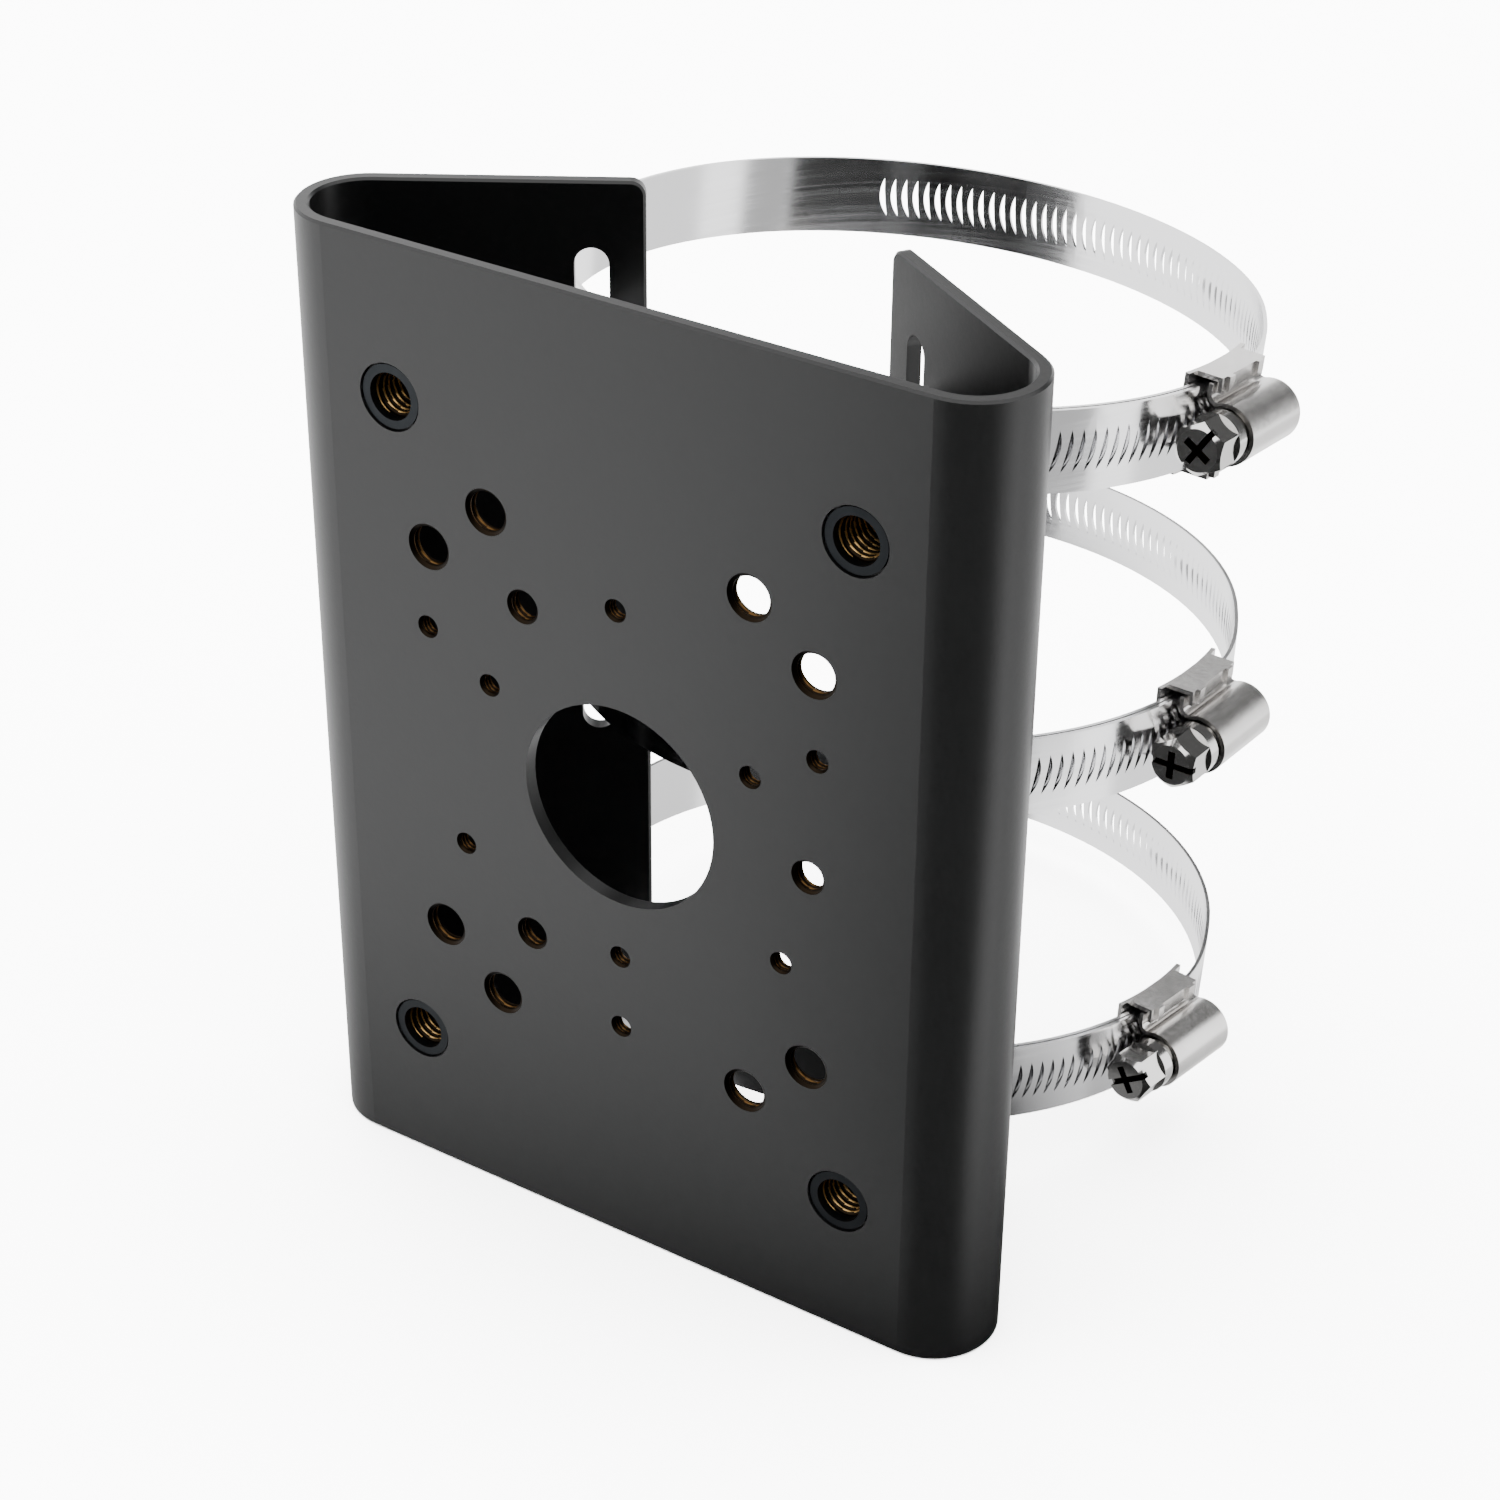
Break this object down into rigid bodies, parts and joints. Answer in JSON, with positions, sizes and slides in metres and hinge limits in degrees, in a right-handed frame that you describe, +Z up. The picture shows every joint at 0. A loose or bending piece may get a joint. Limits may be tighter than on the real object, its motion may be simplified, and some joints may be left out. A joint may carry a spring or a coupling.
{
  "type": "camera pole mount bracket",
  "caption": "Black folded sheet plate with threaded camera hole patterns and a cable hole, held to a pole by worm-drive band clamps through slots in its wings.",
  "frame": {"origin": "centre of the cable hole on the front face of the plate", "axes": "-Y out of the front face towards the camera, +Z up along the pole"},
  "size_m": [0.135, 0.1473, 0.173],
  "materials": {
    "powder_coat": "satin",
    "insert_plating": "satin",
    "band_steel": "brushed",
    "housing_steel": "brushed",
    "screw_steel": "polished"
  },
  "bodies": {
    "bracket": {"bracket_plate": "powder_coat", "insert_top_left": "insert_plating", "insert_top_right": "insert_plating", "insert_bottom_left": "insert_plating", "insert_bottom_right": "insert_plating", "clamp_band_top": "band_steel", "housing_cap_top": "housing_steel", "housing_saddle_top": "housing_steel", "clamp_band_middle": "band_steel", "housing_cap_middle": "housing_steel", "housing_saddle_middle": "housing_steel", "clamp_band_bottom": "band_steel", "housing_cap_bottom": "housing_steel", "housing_saddle_bottom": "housing_steel"},
    "screw_top": {"worm_screw_top": "screw_steel"},
    "screw_middle": {"worm_screw_middle": "screw_steel"},
    "screw_bottom": {"worm_screw_bottom": "screw_steel"}
  },
  "joints": [
    {"name": "screw_top_spin", "type": "hinge", "parent": "bracket", "child": "screw_top", "pos_m": [0.06363, 0.08538, 0.05088], "axis": [-0.0314, -0.9948, 0.097], "continuous": true},
    {"name": "screw_middle_spin", "type": "hinge", "parent": "bracket", "child": "screw_middle", "pos_m": [0.06366, 0.08548, -0.00603], "axis": [-0.0328, -0.998, 0.0543], "continuous": true},
    {"name": "screw_bottom_spin", "type": "hinge", "parent": "bracket", "child": "screw_bottom", "pos_m": [0.06335, 0.08101, -0.06901], "axis": [-0.1011, -0.9915, 0.0819], "continuous": true}
  ]
}
